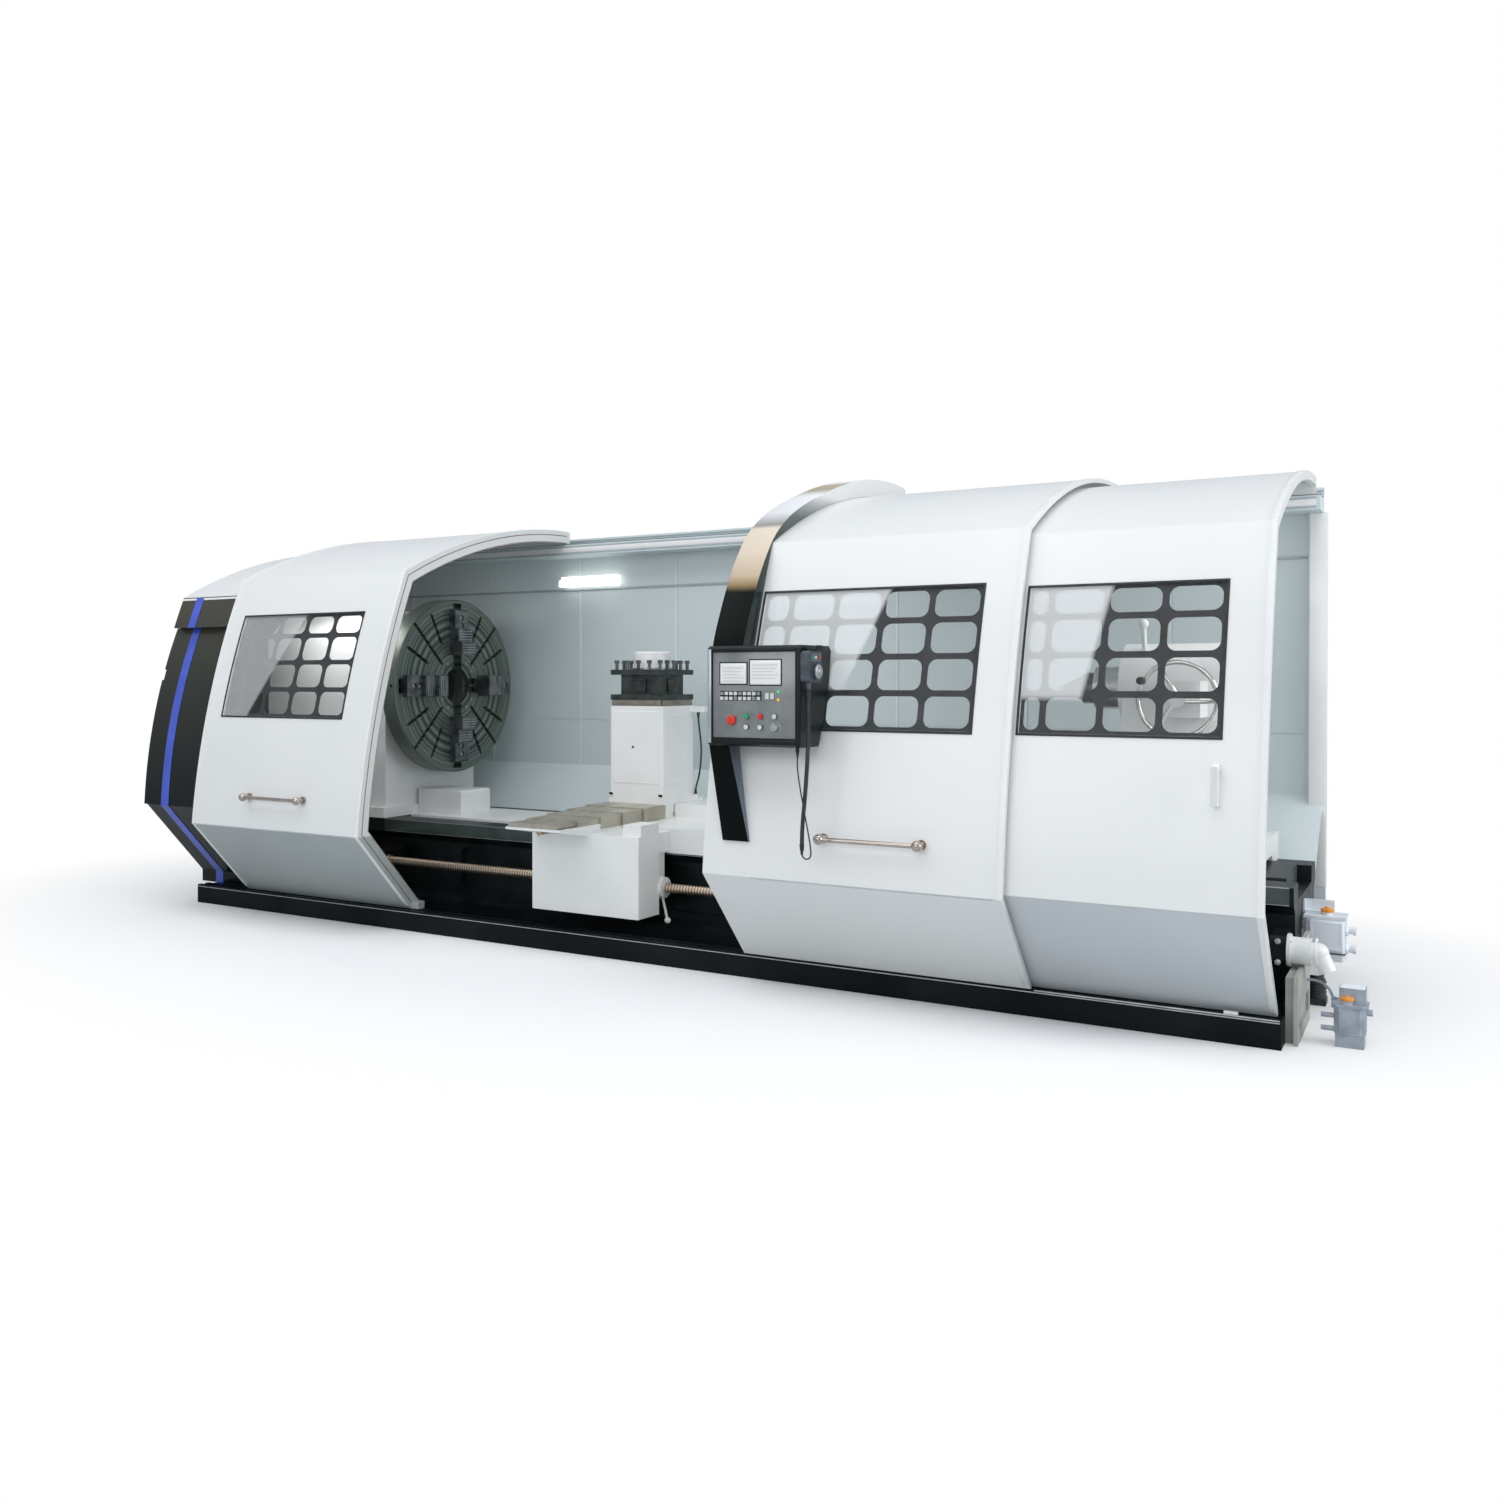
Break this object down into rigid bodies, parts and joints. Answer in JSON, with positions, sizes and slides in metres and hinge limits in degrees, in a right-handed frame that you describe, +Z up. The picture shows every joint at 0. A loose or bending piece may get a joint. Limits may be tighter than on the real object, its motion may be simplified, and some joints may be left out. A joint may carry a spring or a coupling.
{
  "type": "cnc turning lathe",
  "caption": "Heavy CNC turning lathe: long black base, sliding curved hoods with barred windows, arch-mounted control pendant, jawed chuck, square turret and tailstock.",
  "frame": {"origin": "middle of the base's underside, on the floor", "axes": "+X along the spindle from headstock to tailstock, -Y towards the operator, +Z up"},
  "size_m": [7.707, 2.6268, 2.8959],
  "materials": {
    "white_paint": "satin powder coat",
    "black_paint": "gloss enamel",
    "black_casting": "oiled black enamel on cast iron",
    "guard_grey": "pale grey satin paint",
    "casting_white": "satin enamel on castings",
    "blue_trim": "gloss strip",
    "ground_steel": "ground steel",
    "screw_steel": "oiled steel",
    "chuck_steel": "turned and oiled",
    "jaw_steel": "hardened, oiled",
    "cover_steel": "rolled sheet",
    "glass_clear": "clear laminated",
    "grid_black": "matt coat",
    "chrome_bright": "polished",
    "arch_black": "high gloss",
    "pendant_black": "satin",
    "screen_grey": "backlit panel",
    "red_plastic": "gloss",
    "green_plastic": "gloss",
    "grey_plastic": "satin",
    "generator_grey": "satin",
    "cord_black": "matt sheath",
    "lamp_white": "diffuser",
    "motor_dark": "satin enamel",
    "pump_grey": "satin enamel",
    "end_beige": "satin enamel"
  },
  "bodies": {
    "machine_frame": {"base_tray": "black_paint", "bed": "black_casting", "bed_end_cover": "end_beige", "hood_tracks": "ground_steel", "headstock": "casting_white", "feed_motor": "casting_white", "left_end_cover": "black_paint", "cover_stripe": "blue_trim", "rear_guard": "guard_grey", "chip_slide": "casting_white", "work_lamp": "lamp_white", "lube_unit": "pump_grey", "coolant_pump": "motor_dark", "oil_pump": "pump_grey"},
    "spindle_and_chuck": {"spindle": "ground_steel", "chuck_body": "chuck_steel"},
    "jaw_1": {"jaw_1": "jaw_steel"},
    "jaw_2": {"jaw_2": "jaw_steel"},
    "jaw_3": {"jaw_3": "jaw_steel"},
    "jaw_4": {"jaw_4": "jaw_steel"},
    "feed_screw": {"feed_screw": "screw_steel"},
    "carriage": {"saddle": "casting_white", "apron": "casting_white", "way_cover_5": "cover_steel"},
    "cross_screw": {"cross_screw": "screw_steel"},
    "tool_slide": {"tool_column": "casting_white", "way_cover_1": "cover_steel", "turret_cable": "cord_black"},
    "way_cover_2": {"way_cover_2": "cover_steel"},
    "way_cover_3": {"way_cover_3": "cover_steel"},
    "way_cover_4": {"way_cover_4": "cover_steel"},
    "turret": {"turret_block": "chuck_steel", "clamp_bolts": "jaw_steel", "turret_cap": "casting_white"},
    "tailstock": {"tailstock_body": "casting_white"},
    "quill": {"quill": "ground_steel"},
    "live_centre": {"live_centre": "jaw_steel"},
    "tail_handwheel": {"tail_handwheel": "chrome_bright"},
    "left_hood": {"left_hood": "white_paint", "left_window": "glass_clear", "left_grid": "grid_black", "left_handle": "chrome_bright"},
    "middle_hood": {"middle_hood": "white_paint", "middle_window": "glass_clear", "middle_grid": "grid_black", "middle_handle": "chrome_bright", "arch_band": "arch_black", "pendant_case": "pendant_black", "pendant_screens": "screen_grey", "pulse_generator": "generator_grey", "generator_cord": "cord_black", "generator_lead": "cord_black"},
    "right_hood": {"right_hood": "white_paint", "right_window": "glass_clear", "right_grid": "grid_black", "right_handle": "chrome_bright"},
    "emergency_button": {"emergency_button": "red_plastic"},
    "start_button": {"start_button": "green_plastic"},
    "stop_button": {"stop_button": "red_plastic"},
    "override_knob": {"override_knob": "grey_plastic"}
  },
  "joints": [
    {"name": "spindle_turn", "type": "hinge", "parent": "machine_frame", "child": "spindle_and_chuck", "pos_m": [-2.06, 0, 1.568], "axis": [1, 0, 0], "continuous": true},
    {"name": "jaw_1_slide", "type": "slide", "parent": "spindle_and_chuck", "child": "jaw_1", "axis": [0, 0, 1], "range_m": [-0.08, 0.04]},
    {"name": "jaw_2_slide", "type": "slide", "parent": "spindle_and_chuck", "child": "jaw_2", "axis": [0, -1, 0], "range_m": [-0.08, 0.04]},
    {"name": "jaw_3_slide", "type": "slide", "parent": "spindle_and_chuck", "child": "jaw_3", "axis": [0, 0, -1], "range_m": [-0.08, 0.04]},
    {"name": "jaw_4_slide", "type": "slide", "parent": "spindle_and_chuck", "child": "jaw_4", "axis": [0, 1, 0], "range_m": [-0.08, 0.04]},
    {"name": "carriage_slide", "type": "slide", "parent": "machine_frame", "child": "carriage", "axis": [1, 0, 0], "range_m": [-0.63, 2]},
    {"name": "feed_screw_turn", "type": "hinge", "parent": "machine_frame", "child": "feed_screw", "pos_m": [0.6, -0.62, 0.37], "axis": [1, 0, 0], "range_deg": [-5675, 18005]},
    {"name": "cross_slide", "type": "slide", "parent": "carriage", "child": "tool_slide", "axis": [0, 1, 0], "range_m": [-0.45, 0.09]},
    {"name": "cross_screw_turn", "type": "hinge", "parent": "carriage", "child": "cross_screw", "pos_m": [-0.38, -0.3, 0.717], "axis": [0, 1, 0], "range_deg": [-8105, 1625]},
    {"name": "way_cover_2_slide", "type": "slide", "parent": "carriage", "child": "way_cover_2", "axis": [0, 1, 0], "range_m": [-0.3385, 0.0685]},
    {"name": "way_cover_3_slide", "type": "slide", "parent": "carriage", "child": "way_cover_3", "axis": [0, 1, 0], "range_m": [-0.226, 0.046]},
    {"name": "way_cover_4_slide", "type": "slide", "parent": "carriage", "child": "way_cover_4", "axis": [0, 1, 0], "range_m": [-0.1135, 0.0235]},
    {"name": "turret_index", "type": "hinge", "parent": "tool_slide", "child": "turret", "pos_m": [-0.38, 0.1165, 1.6], "axis": [0, 0, 1], "continuous": true},
    {"name": "tailstock_slide", "type": "slide", "parent": "machine_frame", "child": "tailstock", "axis": [1, 0, 0], "range_m": [-1.5, 0.12]},
    {"name": "quill_slide", "type": "slide", "parent": "tailstock", "child": "quill", "axis": [-1, 0, 0], "range_m": [0, 0.25]},
    {"name": "handwheel_turn", "type": "hinge", "parent": "tailstock", "child": "tail_handwheel", "pos_m": [3.068, -0.56, 1.517], "axis": [0, 1, 0], "range_deg": [-5, 9005]},
    {"name": "centre_turn", "type": "hinge", "parent": "quill", "child": "live_centre", "pos_m": [2.5, 0, 1.568], "axis": [1, 0, 0], "continuous": true},
    {"name": "left_hood_slide", "type": "slide", "parent": "machine_frame", "child": "left_hood", "axis": [1, 0, 0], "range_m": [-0.6, 0]},
    {"name": "middle_hood_slide", "type": "slide", "parent": "machine_frame", "child": "middle_hood", "axis": [1, 0, 0], "range_m": [-2.4, 0.6]},
    {"name": "right_hood_slide", "type": "slide", "parent": "machine_frame", "child": "right_hood", "axis": [1, 0, 0], "range_m": [-0.8, 0]},
    {"name": "emergency_press", "type": "slide", "parent": "middle_hood", "child": "emergency_button", "axis": [0, 1, 0], "range_m": [0, 0.005], "stiffness_N_per_m": 500, "springref_m": -0.002},
    {"name": "start_press", "type": "slide", "parent": "middle_hood", "child": "start_button", "axis": [0, 1, 0], "range_m": [0, 0.005], "stiffness_N_per_m": 500, "springref_m": -0.002},
    {"name": "stop_press", "type": "slide", "parent": "middle_hood", "child": "stop_button", "axis": [0, 1, 0], "range_m": [0, 0.005], "stiffness_N_per_m": 500, "springref_m": -0.002},
    {"name": "override_turn", "type": "hinge", "parent": "middle_hood", "child": "override_knob", "pos_m": [1.418, -1.592, 1.382], "axis": [0, -1, 0], "range_deg": [-130, 130]}
  ],
  "couplings": [
    {"joint": "feed_screw_turn", "follows": "carriage_slide", "rad_per_m": 157.08},
    {"joint": "cross_screw_turn", "follows": "cross_slide", "rad_per_m": 314.16},
    {"joint": "way_cover_2_slide", "follows": "cross_slide", "ratio": 0.75},
    {"joint": "way_cover_3_slide", "follows": "cross_slide", "ratio": 0.5},
    {"joint": "way_cover_4_slide", "follows": "cross_slide", "ratio": 0.25},
    {"joint": "handwheel_turn", "follows": "quill_slide", "rad_per_m": 628.32}
  ]
}
